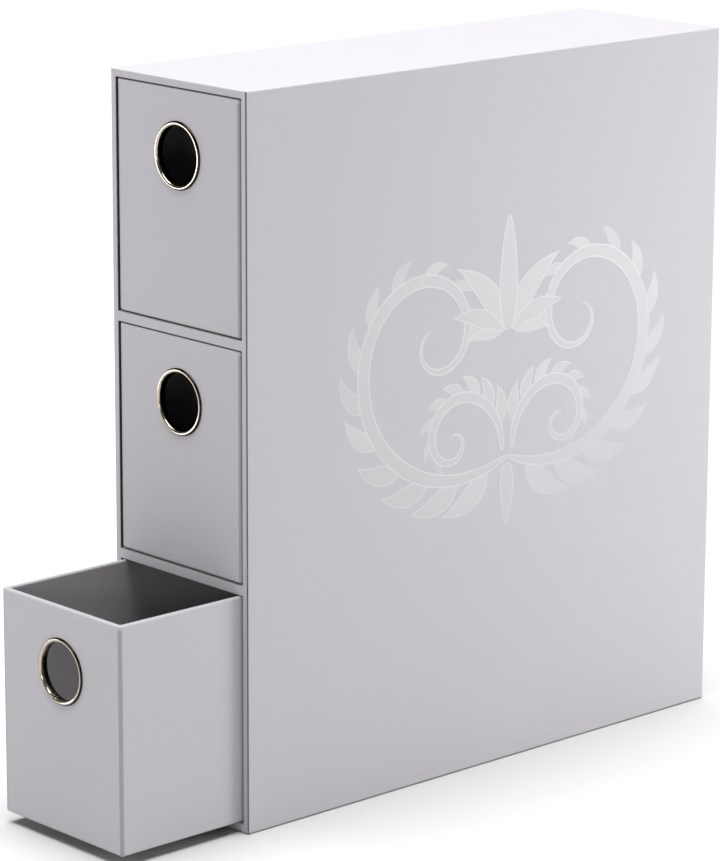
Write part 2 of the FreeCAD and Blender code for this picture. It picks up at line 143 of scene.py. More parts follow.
class LiningSettings(PropertyGroup):
    """Sizes and colours of the dark lining paper."""

    lining: a_length("Lining", "Thickness of the lining paper", 0.0002)
    drop: a_length("Drop", "From the rim down to the lining", 0.00055)
    corner_radius: a_length("Corner Radius", "Rounding of the lining's folds", 0.0004)
    colour: a_colour("Colour", "Main colour of the lining", (0.35, 0.335, 0.35))
    fleck_colour: a_colour("Fleck Colour", "Lighter fibres in the lining", (0.41, 0.395, 0.41))


class RingSettings(PropertyGroup):
    """Sizes and colours of the rolled finger rings."""

    metal: a_length("Metal", "Thickness of the strip", 0.00025)
    front_width: a_length("Front Width", "Width of the bead on the drawer's front", 0.002)
    back_width: a_length("Back Width", "Width of the bead inside the drawer", 0.002)
    back_rise: a_length("Back Rise", "Height of the bead inside the drawer", 0.00075)
    seam_gap: an_angle("Seam Gap", "Gap between the strip's two ends", 1.8)
    tight_gap: an_angle("Tight Gap", "The same gap where the strip is rolled tight", 0.2)
    loose_ring: StringProperty(name="Loose Ring", description="Whose seam shows", default="lower")
    seam_turn: an_angle("Seam Turn", "Direction of the seam, from +X towards +Z", 251)
    lifted_end: a_length("Lifted End", "How far one end stands in from the other", 0.0009)
    colour: a_colour("Colour", "Colour of the plated metal", (0.52, 0.455, 0.37))
    # Painted shade and dark reflection: the bead's outer edge and the barrel are darkened to this colour
    shade_and_reflection_colour: a_colour("Patina Colour", "Tone where polishing doesn't reach", (0.022, 0.017, 0.013))


class PrintSettings(PropertyGroup):
    """Sizes and colours of the scroll print on the right side."""

    film: a_length("Film", "Thickness of the printed film", 0.00004)
    layer: a_length("Layer", "Rise from a leaf to the next over it", 0.0000008)
    behind_front: a_length("Behind Front", "Middle of the print, behind the cabinet's front", 0.162)
    height: a_length("Height", "Middle of the print, above the base", 0.203)
    border: a_length("Border", "Width of the bright line along each shape", 0.0006)
    seed: IntProperty(name="Seed", description="Seed of the leaves' small differences", default=7)
    colour: a_colour("Colour", "Tone of the satin film", (0.452, 0.442, 0.458))
    border_colour: a_colour("Border Colour", "Tone of the bright lines", (0.505, 0.497, 0.515))
    fade_start: a_length("Fade Start", "Where the print starts to fade, from its middle", 0.03)
    fade_end: a_length("Fade End", "Where the fade is full, from its middle", 0.13)
    fade: a_share("Fade", "Share of the paper's colour in the full fade", 0.75)


class StageSettings(PropertyGroup):
    """The floor, the lights and the camera."""

    floor_size: a_length("Floor Size", "Side of the square floor", 30)
    floor_colour: a_colour("Floor Colour", "Colour of the floor", (0.45, 0.45, 0.45))
    surround: a_share("Surround", "Strength of the light from all around", 0.115)
    overhead: a_share("Overhead", "Strength of the overhead light", 7.4)
    overhead_spread: an_angle("Overhead Spread", "Angle over which it spreads", 50)
    left_power: a_share("Left Power", "Watts of the left softbox", 3.0)
    right_power: a_share("Right Power", "Watts of the right softbox", 7.3)
    front_power: a_share("Front Power", "Watts of the front softbox", 3.0)
    focal_length: FloatProperty(name="Focal Length", description="Lens, in millimetres", default=162.57)


# Small helpers: meshes


def new_object(name, data):
    """An object at the origin, linked into the scene."""
    thing = bpy.data.objects.new(name, data)
    bpy.context.scene.collection.objects.link(thing)
    return thing


def new_piece(name, bm):
    """An object with the built mesh."""
    mesh = bpy.data.meshes.new(name)
    bm.normal_update()
    bm.to_mesh(mesh)
    bm.free()
    return new_object(name, mesh)


def evaluated_mesh(piece):
    """A plain mesh of the object as its modifiers make it."""
    graph = bpy.context.evaluated_depsgraph_get()
    finished = piece.evaluated_get(graph)
    return bpy.data.meshes.new_from_object(finished, preserve_all_data_layers=True, depsgraph=graph)


def make_plain(piece):
    """Turns the modifiers' result into the piece's own mesh."""
    mesh = evaluated_mesh(piece)
    piece.modifiers.clear()
    piece.data = mesh


def thicken(piece, thickness):
    """Gives an open surface its thickness, behind the side that shows."""
    solidify = piece.modifiers.new("Thickness", "SOLIDIFY")
    solidify.thickness = thickness
    solidify.offset = -1
    make_plain(piece)


def shade(piece):
    """Smooth folds beside flat panels, with crisp cut edges."""
    piece.data.shade_smooth()
    piece.data.set_sharp_from_angle(angle=CRISP_ANGLE)
    weighted = piece.modifiers.new("Flat panels", "WEIGHTED_NORMAL")
    weighted.keep_sharp = True
    make_plain(piece)


def hand_over(piece, body, material, replaced):
    """Gives a finished piece its material and its body, and hides the nodes that it stands for."""
    piece.data.materials.clear()
    piece.data.materials.append(material)
    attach(piece, body)
    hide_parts(*replaced)


def finish_sheet(piece, thickness, body, slot, node):
    """Makes an open surface a real sheet, with its folds shaded, and hands it over."""
    thicken(piece, thickness)
    shade(piece)
    hand_over(piece, body, box_materials()[slot], [node])


def rounded_loop(low, high, inset, radius, shoulder, cuts=()):
    """Points (across, up, fold_shade) anticlockwise round a rectangle, inset, with cuts on its lower side.

    Fold shade is the share of painted shade at a corner: 1 where the flat side meets a corner's arc, 0.6 on
    the arc and 0 elsewhere.
    """
    (left, bottom), (right, top) = low, high
    inward = inset + radius
    left, bottom, right, top = left + inward, bottom + inward, right - inward, top - inward
    centres = [(left, bottom, 180), (right, bottom, 270), (right, top, 0), (left, top, 90)]
    points = []
    for corner, (across, up, start) in enumerate(centres):
        for step in range(-1, ARC_STEPS + 2):
            turned = min(max(step, 0), ARC_STEPS)
            angle = math.radians(start + 90 * turned / ARC_STEPS)
            beyond = (step - turned) * shoulder
            sine, cosine = math.sin(angle), math.cos(angle)
            place = (across + radius * cosine - beyond * sine, up + radius * sine + beyond * cosine)
            fold_shade = 0.0 if beyond else 1.0 if step in (0, ARC_STEPS) else 0.6
            points.append((*place, fold_shade))
        if corner == 0:
            points.extend((cut, bottom - radius, 0.0) for cut in cuts)
    return points


def quarter_arc(radius):
    """Steps of a rounded edge: how far along it each is, how far in, and the turn's sine and cosine."""
    angles = [math.pi / 2 * step / ARC_STEPS for step in range(ARC_STEPS + 1)]
    turns = [(math.sin(angle), math.cos(angle)) for angle in angles]
    return [(radius * (1 - cosine), radius * (1 - sine), sine, cosine) for sine, cosine in turns]


def sweep(bm, rings, painted_shades, flip=False):
    """Faces between successive rings of points, each vertex with its painted shade, and the rings' vertices.
    """
    # This layer holds each vertex's share of painted shade
    layer = bm.verts.layers.float.get("crease") or bm.verts.layers.float.new("crease")
    rows = []
    for ring, ring_painted_shades in zip(rings, painted_shades):
        row = [bm.verts.new(point) for point in ring]
        for vertex, crease in zip(row, ring_painted_shades):
            vertex[layer] = crease
        rows.append(row)
    count = len(rows[0])
    for near, far in zip(rows, rows[1:]):
        for index in range(count):
            after = (index + 1) % count
            corners = [near[index], near[after], far[after], far[index]]
            bm.faces.new(corners[::-1] if flip else corners)
    return rows


def clean(bm):
    """Merges the points of folds that shrink to a sharp corner."""
    bmesh.ops.remove_doubles(bm, verts=bm.verts, dist=NEAR)
    bmesh.ops.dissolve_degenerate(bm, edges=bm.edges, dist=NEAR)


def cut_out(bm, inside):
    """Deletes the faces whose vertices all lie inside."""
    covered = [face for face in bm.faces if all(map(inside, face.verts))]
    bmesh.ops.delete(bm, geom=covered, context="FACES")


def hole_places(centre):
    """Even places each way of a ring's centre, between which the wall is cut into small faces."""
    count = round(HOLE_SQUARE / HOLE_STEP)
    return [centre + HOLE_STEP * index for index in range(-count, count + 1)]


def open_round_hole(bm, centre, radius):
    """Opens a round hole in the wall at the centre, inside the square of small faces."""

    def in_square(vertex):
        offset = vertex.co - centre
        return abs(offset.y) < NEAR and max(abs(offset.x), abs(offset.z)) < HOLE_SQUARE + NEAR

    cut_out(bm, in_square)
    border = [edge for edge in bm.edges if edge.is_boundary and all(map(in_square, edge.verts))]
    made = bmesh.ops.extrude_edge_only(bm, edges=border)["geom"]
    for vertex in (item for item in made if isinstance(item, bmesh.types.BMVert)):
        vertex.co = centre + (vertex.co - centre).normalized() * radius


# Small helpers: node trees


class Number:
    """A number that flows through a node tree. Arithmetic on it adds Math nodes."""

    def __init__(self, tree, source):
        self.tree = tree
        self.source = source

    def math(self, operation, *others):
        node = self.tree.nodes.new("ShaderNodeMath")
        node.operation = operation
        for socket, value in zip(node.inputs, (self, *others)):
            feed(self.tree, socket, value)
        return Number(self.tree, node.outputs[0])

    __add__ = partialmethod(math, "ADD")
    __sub__ = partialmethod(math, "SUBTRACT")
    __mul__ = partialmethod(math, "MULTIPLY")
    __truediv__ = partialmethod(math, "DIVIDE")
    __pow__ = partialmethod(math, "POWER")
    __neg__ = partialmethod(math, "MULTIPLY", -1)
    sine = partialmethod(math, "SINE")
    cosine = partialmethod(math, "COSINE")
    over = partialmethod(math, "GREATER_THAN")

    def clamped(self):
        return self.math("MINIMUM", 1).math("MAXIMUM", 0)


def feed(tree, socket, value):
    """Wires a value into a socket, or sets the socket to it."""
    if isinstance(value, Number):
        value = value.source
    if isinstance(value, bpy.types.NodeSocket):
        tree.links.new(value, socket)
    else:
        socket.default_value = value


def add_node(tree, kind, inputs=None, **settings):
    """A node with its settings made and its inputs wired or set."""
    node = tree.nodes.new(kind)
    for key, value in settings.items():
        setattr(node, key, value)
    for key, value in (inputs or {}).items():
        feed(tree, node.inputs[key], value)
    return node


def smooth_step(number, start, end):
    """0 before the start, 1 after the end, and a soft ramp between."""
    inputs = {"Value": number, "From Min": start, "From Max": end}
    node = add_node(number.tree, "ShaderNodeMapRange", inputs, interpolation_type="SMOOTHSTEP")
    return Number(number.tree, node.outputs[0])


def parts_of(tree, vector):
    """The three numbers of a vector."""
    node = add_node(tree, "ShaderNodeSeparateXYZ", {0: vector})
    return [Number(tree, socket) for socket in node.outputs]


def vector_of(tree, x, y, z=0.0):
    """A vector of three numbers."""
    return add_node(tree, "ShaderNodeCombineXYZ", {0: x, 1: y, 2: z}).outputs[0]


def new_geometry_tree(name, **inputs):
    """A geometry node tree with the named inputs of each kind, and those inputs by name."""
    tree = bpy.data.node_groups.new(name, "GeometryNodeTree")
    tree.interface.new_socket("Geometry", in_out="INPUT", socket_type="NodeSocketGeometry")
    tree.interface.new_socket("Geometry", in_out="OUTPUT", socket_type="NodeSocketGeometry")
    for kind, labels in inputs.items():
        for label in labels:
            tree.interface.new_socket(label, in_out="INPUT", socket_type="NodeSocket" + kind)
    group_input = tree.nodes.new("NodeGroupInput")
    sockets = {socket.name: Number(tree, socket) for socket in group_input.outputs if socket.name}
    return tree, sockets


def end_tree(tree, geometry, material):
    """Ends a geometry tree with real meshes that have their material."""
    real = add_node(tree, "GeometryNodeRealizeInstances", {"Geometry": geometry}).outputs[0]
    finished = add_node(tree, "GeometryNodeSetMaterial", {"Geometry": real, "Material": material}).outputs[0]
    add_node(tree, "NodeGroupOutput", {0: finished})


def unit_grid(tree, along, across):
    """A square grid of given vertex counts, and its two places from 0 to 1."""
    size = {"Size X": 1.0, "Size Y": 1.0, "Vertices X": along, "Vertices Y": across}
    mesh = add_node(tree, "GeometryNodeMeshGrid", size).outputs[0]
    position = tree.nodes.new("GeometryNodeInputPosition").outputs[0]
    x, y, _ = parts_of(tree, position)
    return mesh, x + 0.5, y + 0.5


def store(tree, mesh, name, value, domain="POINT"):
    """The mesh with a number stored on it."""
    inputs = {"Geometry": mesh, "Name": name, "Value": value}
    return add_node(tree, "GeometryNodeStoreNamedAttribute", inputs, domain=domain).outputs[0]


def run_tree(name, tree, values, source=None):
    """A mesh object made by a geometry tree whose inputs have the given values."""
    holder = source or new_object(name, bpy.data.meshes.new(name))
    modifier = holder.modifiers.new(tree.name, "NODES")
    modifier.node_group = tree
    for item in tree.interface.items_tree:
        if item.in_out == "INPUT" and item.name in values:
            modifier[item.identifier] = values[item.name]
    mesh = evaluated_mesh(holder)
    bpy.data.objects.remove(holder)
    return new_object(name, mesh)


# Materials


def new_material(name, roughness, **constants):
    """A material with its tree, its shader and the surface point in the object's own frame."""
    material = bpy.data.materials.new(name)
    material.use_nodes = True
    tree = material.node_tree
    shader = tree.nodes["Principled BSDF"]
    shader.inputs["Roughness"].default_value = roughness
    for key, value in constants.items():
        shader.inputs[key.replace("_", " ")].default_value = value
    return material, tree, shader, tree.nodes.new("ShaderNodeTexCoord").outputs["Object"]


def noise(tree, point, scale, detail=2.0, roughness=0.5, distortion=0.0):
    """A smooth random number over space, about 0.5 in the mean."""
    inputs = {"Vector": point, "Scale": scale, "Detail": detail, "Roughness": roughness}
    node = add_node(tree, "ShaderNodeTexNoise", {**inputs, "Distortion": distortion})
    return Number(tree, node.outputs[0])


def attribute(tree, name):
    """A number stored on the mesh."""
    node = add_node(tree, "ShaderNodeAttribute", attribute_name=name)
    return Number(tree, node.outputs["Fac"])


def stretched(tree, point, scale):
    """The point with a scale of its own along each axis."""
    return add_node(tree, "ShaderNodeMapping", {"Vector": point, "Scale": scale}).outputs[0]


def blend(tree, factor, first, second, mode="MIX"):
    """One colour going over into another."""
    inputs = {0: factor, 6: opaque(first), 7: opaque(second)}
    return add_node(tree, "ShaderNodeMix", inputs, data_type="RGBA", blend_type=mode).outputs[2]


def opaque(colour):
    """A colour with full cover, or a wired colour as it is."""
    return colour if isinstance(colour, bpy.types.NodeSocket) else (*colour, 1.0)


def toned(tree, colour, tone):
    """A colour made darker or lighter by a number."""
    return blend(tree, 1.0, colour, vector_of(tree, tone, tone, tone), "MULTIPLY")


def wire(tree, shader, colour, roughness, height, strength, depth):
    """Wires the colour, the roughness and a relief of some depth into the shader."""
    relief = add_node(tree, "ShaderNodeBump", {"Height": height, "Strength": strength, "Distance": depth})
    feed(tree, shader.inputs["Base Color"], colour)
    feed(tree, shader.inputs["Roughness"], roughness)
    feed(tree, shader.inputs["Normal"], relief.outputs[0])


def cover_paper_material(settings):
    """Soft-touch grey paper: faint mottling, fine tooth, and painted shade on its folds, rims and windows'
    flaps.
    """
    material, tree, shader, point = new_material(
        "soft_touch_paper", 0.6, Specular_IOR_Level=0.2, Sheen_Weight=0.1, Sheen_Roughness=0.5
    )
    mottling = smooth_step(noise(tree, point, 11.0, detail=3.0), 0.38, 0.62)
    tooth = noise(tree, point, 2600.0, detail=3.0, roughness=0.6)
    cloud = noise(tree, point, 190.0, detail=4.0, roughness=0.55)
    base = blend(tree, mottling, settings.colour, settings.second_colour)
    paper = toned(tree, base, tooth * 0.05 + cloud * 0.035 + 0.9575)
    # Painted shade: the stored share, roughened by the cloud noise, darkens the paper toward the fold shade
    # colour
    crease = (attribute(tree, "crease") * (cloud * 0.3 + 0.85)).clamped()
    colour = blend(tree, crease, paper, settings.fold_shade_colour)
    wire(tree, shader, colour, cloud * 0.12 + 0.54, tooth, strength=0.18, depth=0.00008)
    return material


def lining_paper_material(settings):
    """Dark lining paper with a felt-like tooth and fine lighter fibres."""
    material, tree, shader, point = new_material("dark_lining_paper", 0.7, Specular_IOR_Level=0.3)
    along = stretched(tree, point, (1.0, 0.35, 1.0))
    fibres = noise(tree, along, 2200.0, detail=4.0, roughness=0.7, distortion=0.6)
    cloud = noise(tree, point, 60.0, detail=3.0)
    flecks = smooth_step(fibres, 0.52, 0.75) * 0.8
    base = blend(tree, flecks, settings.colour, settings.fleck_colour)
    colour = toned(tree, base, cloud * 0.16 + 0.92)
    wire(tree, shader, colour, fibres * 0.16 + 0.62, fibres, strength=0.3, depth=0.0001)
    return material


def greyboard_material():
    """Pressed waste-paper board: grey-brown, with dark and light specks."""
    material, tree, shader, point = new_material("pressed_greyboard", 0.85, Specular_IOR_Level=0.2)
    pulp = noise(tree, point, 700.0, detail=5.0, roughness=0.65, distortion=0.4)
    specks = smooth_step(noise(tree, point, 1500.0), 0.62, 0.72)
    base = blend(tree, pulp, (0.30, 0.275, 0.245), (0.45, 0.425, 0.385))
    colour = blend(tree, specks * 0.6, base, (0.16, 0.145, 0.13))
    wire(tree, shader, colour, pulp * 0.15 + 0.78, pulp, strength=0.4, depth=0.0002)
    return material


def tape_material():
    """Kraft paper tape with long fibres and a faint machine stripe."""
    material, tree, shader, point = new_material("kraft_tape", 0.6, Specular_IOR_Level=0.3)
    fibres = noise(tree, stretched(tree, point, (1.0, 1.0, 0.2)), 1800.0, detail=4.0, roughness=0.7)
    stripe = noise(tree, stretched(tree, point, (1.0, 0.02, 1.0)), 900.0, detail=1.0)
    base = blend(tree, fibres, (0.46, 0.32, 0.18), (0.60, 0.45, 0.28))
    colour = toned(tree, base, stripe * 0.12 + 0.94)
    wire(tree, shader, colour, fibres * 0.15 + 0.52, fibres, strength=0.25, depth=0.0001)
    return material


def ring_metal_material(settings):
    """Warm plated steel with faint lines along the strip and small tarnish, and painted shade and dark
    reflection on the bead's outer edge and in the barrel.
    """
    material, tree, shader, point = new_material("warm_plated_steel", 0.2, Metallic=1.0)
    around, across = attribute(tree, "around"), attribute(tree, "across")
    lines = noise(tree, vector_of(tree, around * 3.0, across * 60.0), 6.0, detail=3.0, roughness=0.6)
    tarnish = noise(tree, point, 260.0, detail=3.0)
    base = blend(tree, tarnish * 0.5, settings.colour, [part * 0.82 for part in settings.colour])
    ragged = across + tarnish * 0.03 - 0.015
    # Painted shade and dark reflection: outside this band, on the bead's outer edge and in the barrel, the
    # metal takes the dark colour
    clear_of_shade = smooth_step(ragged, 0.14, 0.20) * (-smooth_step(ragged, 0.44, 0.50) + 1)
    colour = blend(tree, clear_of_shade, settings.shade_and_reflection_colour, base)
    wire(tree, shader, colour, lines * 0.10 + tarnish * 0.08 + 0.10, lines, strength=0.06, depth=0.00005)
    return material


def print_material(settings, cover):
    """Satin film a little lighter than the paper, with pearl tints, bright borders and a soft fade."""
    material, tree, shader, point = new_material("satin_print", 0.45, Specular_IOR_Level=0.3)
    pearl = smooth_step(noise(tree, point, 26.0), 0.35, 0.65)
    red, green, blue = settings.colour
    tint = blend(tree, pearl, settings.colour, (red, green * 0.985, blue))
    leaf = toned(tree, tint, attribute(tree, "shade") * 0.06 + 0.94)
    inked = blend(tree, attribute(tree, "border"), leaf, settings.border_colour)
    _, along, up = parts_of(tree, point)
    middle = CASE_LOW.y + settings.behind_front
    lower_back = (along - middle) * 0.8 - (up - settings.height)
    faded = smooth_step(lower_back, settings.fade_start, settings.fade_end) * settings.fade
    colour = blend(tree, faded, inked, cover.colour)
    roughness = noise(tree, point, 1400.0) * 0.1 + 0.42
    wire(tree, shader, colour, roughness, noise(tree, point, 2600.0), strength=0.05, depth=0.00005)
    return material


def floor_material(settings):
    """Plain pale studio floor with a faint grain."""
    material, tree, shader, point = new_material("studio_floor", 0.9, Specular_IOR_Level=0.1)
    grain = noise(tree, point, 40.0, detail=3.0) * 0.02 + 0.99
    feed(tree, shader.inputs["Base Color"], toned(tree, settings.floor_colour, grain))
    return material


@cache
def box_materials():
    """The object's materials by the record's slots, and the print's, made at the first call."""
    scene = bpy.context.scene
    return {
        "cover_paper": cover_paper_material(scene.box_cover),
        "lining_paper": lining_paper_material(scene.box_lining),
        "greyboard": greyboard_material(),
        "paper_tape": tape_material(),
        "ring_metal": ring_metal_material(scene.box_ring),
        "print": print_material(scene.box_print, scene.box_cover),
    }


# Pieces of the cabinet


class CARDBOX_OT_carried_nodes(Operator):
    """Gives the boards, tapes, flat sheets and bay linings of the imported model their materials"""

    bl_idname = "cardbox.carried_nodes"
    bl_label = "Finish Boards, Tapes and Linings"

    def execute(self, context):
        for name, node in frame["nodes"].items():
            node.data.materials.clear()
            node.data.materials.append(box_materials()[SLOT_OF_NODE[name]])
        return {"FINISHED"}


class CARDBOX_OT_cabinet_wrap(Operator):
    """Folds the outer sheet over the cabinet's sides and top, round its front edge and onto its back"""

    bl_idname = "cardbox.cabinet_wrap"
    bl_label = "Wrap the Cabinet"

    def execute(self, context):
        cover = context.scene.box_cover
        low, high = CASE_LOW.copy(), CASE_HIGH.copy()
        low.x, high.x = low.x + cover.print_room, high.x - cover.print_room
        front, back = low.y, high.y
        # The painted shade is even over most of the rounding and fades at both of its ends
        stations = [
            (front + along, inset, min(cover.edge_shade, 2.5 * sine * cosine))
            for along, inset, sine, cosine in quarter_arc(cover.front_radius)
        ]
        stations.append((front + cover.front_radius + cover.shade_shoulder, 0.0, 0.0))
        stations.append((front + cover.base_strip, 0.0, 0.0))
        stations.append((back - cover.base_strip, 0.0, 0.0))
        stations += [(back - inset, along, 0.0) for along, inset, _, _ in quarter_arc(cover.case_radius)]
        stations.append((back, cover.back_turn_in, 0.0))

        window = high.x - cover.base_turn_in
        rings, painted_shades = [], []
        for along, inset, crease in stations:
            corner = max(cover.case_radius - inset, cover.case_radius / 8)
            loop = rounded_loop(low.xz, high.xz, inset, corner, cover.shade_shoulder, (-window, window))
            rings.append([(across, along, up) for across, up, _ in loop])
            # Only the upright edges have the painted shade
            sides = [abs(across) > high.x - inset - cover.case_radius / 2 for across, _, _ in loop]
            painted_shades.append([crease if on_side else 0.0 for on_side in sides])
        bm = bmesh.new()
        sweep(bm, rings, painted_shades, flip=True)

        def in_window(vertex):
            inside = abs(vertex.co.x) < window + NEAR and vertex.co.z < low.z + NEAR
            return inside and front + cover.base_strip - NEAR < vertex.co.y < back - cover.base_strip + NEAR

        cut_out(bm, in_window)
        clean(bm)
        piece = new_piece("cabinet_wrap", bm)
        finish_sheet(piece, cover.paper, "case", "cover_paper", "case_outer_wrap")
        return {"FINISHED"}


class CARDBOX_OT_front_sheet(Operator):
    """Cuts the front sheet with its three windows and turns its flaps into the bays"""

    bl_idname = "cardbox.front_sheet"
    bl_label = "Lay the Front Sheet"

    def execute(self, context):
        cover = context.scene.box_cover
        front = CASE_LOW.y
        room = Vector((cover.print_room, 0.0))
        low, high = CASE_LOW.xz + room, CASE_HIGH.xz - room
        margin = cover.front_radius + cover.front_joint
        outline = rounded_loop(low, high, margin, cover.case_radius / 4, cover.shade_shoulder)
        bm = bmesh.new()
        outer = [bm.verts.new((across, front, up)) for across, up, _ in outline]
        borders = [bm.edges.new((vertex, outer[index - 1])) for index, vertex in enumerate(outer)]
        arc = quarter_arc(cover.mouth_radius)
        stations = [(front + along, cover.paper - inset, sine) for along, inset, sine, _ in arc]
        stations.append((front + cover.paper + cover.mouth_turn_in, cover.paper, 1.0))
        for level in LEVELS:
            bay_low, bay_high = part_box(level + "_bay_lining")
            low = (bay_low.x, bay_low.z - cover.mouth_fall)
            high = (bay_high.x, bay_high.z - cover.mouth_fall)
            rings, painted_shades = [], []
            for along, inset, turned in stations:
                loop = rounded_loop(low, high, inset, cover.mouth_radius / 4, cover.shade_shoulder)
                rings.append([(across, along, up) for across, up, _ in loop])
                # Painted shade on the windows' flaps, growing over the mouth's rounding, so the gaps round
                # the drawers read dark
                painted_shades.append([cover.mouth_shade * turned] * len(loop))
            mouth = sweep(bm, rings, painted_shades)[0]
            borders += [bm.edges.get((vertex, mouth[index - 1])) for index, vertex in enumerate(mouth)]
        bmesh.ops.triangle_fill(bm, edges=borders, use_beauty=True, normal=(0, -1, 0))
        bmesh.ops.recalc_face_normals(bm, faces=bm.faces)
        piece = new_piece("cabinet_front_sheet", bm)
        finish_sheet(piece, cover.paper, "case", "cover_paper", "case_front_trim")
        return {"FINISHED"}


# Pieces of the drawers


def ring_place(level):
    """Centre of a drawer's ring on the drawer's front face."""
    low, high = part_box(level + "_drawer_finger_ring")
    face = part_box(level + "_drawer_outer_wrap")[0].y
    return Vector(((low.x + high.x) / 2, face, (low.z + high.z) / 2))


class CARDBOX_OT_drawer_wraps(Operator):
    """Folds the covering paper round each drawer, over its rim and into it"""

    bl_idname = "cardbox.drawer_wraps"
    bl_label = "Wrap the Drawers"

    def execute(self, context):
        cover = context.scene.box_cover
        for level in LEVELS:
            node = level + "_drawer_outer_wrap"
            low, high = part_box(node)
            thickness = high.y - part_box(level + "_drawer_back_board")[0].y + cover.paper
            centre = ring_place(level)
            radius, outer, inner = cover.drawer_radius, cover.rim_outer_radius, cover.rim_inner_radius
            # Painted shade: the rim is darkened over its rounding and top, and the upright corners below the
            # folded corner
            rim, rim_shade = high.z + cover.rim_rise, cover.rim_shade
            stations = [(low.z + along, inset, 0.0, sine) for along, inset, sine, _ in quarter_arc(radius)]
            stations += [(height, 0.0, 0.0, 1.0) for height in hole_places(centre.z)]
            stations.append((rim - cover.corner_fold - cover.shade_shoulder, 0.0, 0.0, 1.0))
            stations.append((rim - cover.corner_fold, 0.0, 0.0, 0.0))
            stations += [
                (rim - inset, along, rim_shade * sine, 0.0) for along, inset, sine, _ in quarter_arc(outer)
            ]
            stations += [
                (rim - along, thickness - inset, rim_shade * cosine, 0.0)
                for along, inset, _, cosine in quarter_arc(inner)
            ]
            stations.append((rim - cover.rim_turn_in, thickness, 0.0, 0.0))
            rings, painted_shades = [], []
            for height, inset, tone, fold_shade_share in stations:
                corner = max(radius - inset, radius / 4)
                loop = rounded_loop(low.xy, high.xy, inset, corner, cover.shade_shoulder, hole_places(0.0))
                rings.append([(across, along, height) for across, along, _ in loop])
                # Each vertex's painted shade: the rim's share, plus the corner's share where the loop turns
                # a corner
                painted_shades.append([tone + fold_shade * fold_shade_share * cover.corner_shade for _, _, fold_shade in loop])
            bm = bmesh.new()
            made = sweep(bm, rings, painted_shades)
            bm.faces.new(made[0][::-1])
            open_round_hole(bm, centre, cover.hole_radius)
            clean(bm)
            piece = new_piece(level + "_drawer_wrap", bm)
            finish_sheet(piece, cover.paper, level + "_drawer", "cover_paper", node)
        return {"FINISHED"}


class CARDBOX_OT_drawer_linings(Operator):
    """Lines the walls of each drawer with dark paper from just below the rim"""

    bl_idname = "cardbox.drawer_linings"
    bl_label = "Line the Drawers"

    def execute(self, context):
        cover = context.scene.box_cover
        lining = context.scene.box_lining
        for level in LEVELS:
            node = level + "_drawer_wall_lining"
            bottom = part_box(node)[0].z
            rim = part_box(level + "_drawer_outer_wrap")[1].z + cover.rim_rise
            floor_low, floor_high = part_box(level + "_drawer_floor_lining")
            centre = ring_place(level)
            centre.y = floor_low.y
            radius = lining.corner_radius
            loop = rounded_loop(floor_low.xy, floor_high.xy, 0.0, radius, radius, hole_places(0.0))
            heights = [bottom, *hole_places(centre.z), rim - lining.drop]
            rings = [[(across, along, height) for across, along, _ in loop] for height in heights]
            bm = bmesh.new()
            sweep(bm, rings, [[0.0] * len(loop)] * len(heights), flip=True)
            open_round_hole(bm, centre, cover.hole_radius)
            clean(bm)
            piece = new_piece(level + "_drawer_wall_paper", bm)
            finish_sheet(piece, lining.lining, level + "_drawer", "lining_paper", node)
        return {"FINISHED"}


def ring_tree():
    """The rolled ring: a half-round bead in front, a barrel through the wall, a bead inside and a seam."""
    tree, given = new_geometry_tree(
        "Rolled ring",
        Vector=["Centre"],
        Float=["Hole Radius", "Wall", "Front Width", "Front Rise", "Back Width", "Back Rise"]
        + ["Seam Gap", "Seam Turn", "Lifted End"],
        Material=["Material"],
    )
    # Shares of the strip's width at which the front bead ends and the back one starts
    front_end, back_start = 0.42, 0.64
    # Share of the way round from which the last end is lifted
    lift_start = 0.955
    mesh, around, across = unit_grid(tree, 193, 41)
    front = (across / front_end).clamped() * math.pi
    barrel = ((across - front_end) / (back_start - front_end)).clamped()
    back = ((across - back_start) / (1 - back_start)).clamped() * math.pi
    end = smooth_step(around, lift_start, 1.0) * (-barrel + 1)
    radius = (
        given["Hole Radius"]
        + given["Front Width"] * (front.cosine() + 1) * 0.5
        + given["Back Width"] * (-back.cosine() + 1) * 0.5
        - given["Lifted End"] * end
    )
    depth = given["Wall"] * barrel - given["Front Rise"] * front.sine() + given["Back Rise"] * back.sine()
    turn = given["Seam Turn"] + given["Seam Gap"] * 0.5 + (-given["Seam Gap"] + 2 * math.pi) * around
    place = vector_of(tree, radius * turn.cosine(), depth, radius * turn.sine())
    mesh = store(tree, store(tree, mesh, "around", around), "across", across)
    inputs = {"Geometry": mesh, "Position": place, "Offset": given["Centre"]}
    end_tree(tree, add_node(tree, "GeometryNodeSetPosition", inputs).outputs[0], given["Material"])
    return tree


class CARDBOX_OT_finger_rings(Operator):
    """Rolls the metal finger ring of each drawer"""

    bl_idname = "cardbox.finger_rings"
    bl_label = "Roll the Finger Rings"

    def execute(self, context):
        ring = context.scene.box_ring
        tree = ring_tree()
        for level in LEVELS:
            node = level + "_drawer_finger_ring"
            low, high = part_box(node)
            centre = ring_place(level)
            loose = level == ring.loose_ring
            values = {
                "Centre": centre,
                "Hole Radius": (high.x - low.x) / 2 - ring.front_width,
                "Wall": high.y - ring.back_rise - centre.y,
                "Front Width": ring.front_width,
                "Front Rise": centre.y - low.y,
                "Back Width": ring.back_width,
                "Back Rise": ring.back_rise,
                "Seam Gap": ring.seam_gap if loose else ring.tight_gap,
                "Seam Turn": ring.seam_turn,
                "Lifted End": ring.lifted_end if loose else 0.0,
                "Material": box_materials()["ring_metal"],
            }
            piece = run_tree(level + "_drawer_rolled_ring", tree, values)
            finish_sheet(piece, ring.metal, level + "_drawer", "ring_metal", node)
        return {"FINISHED"}


# The print on the right side: scrolls with leaves, alike to the left and right of its middle

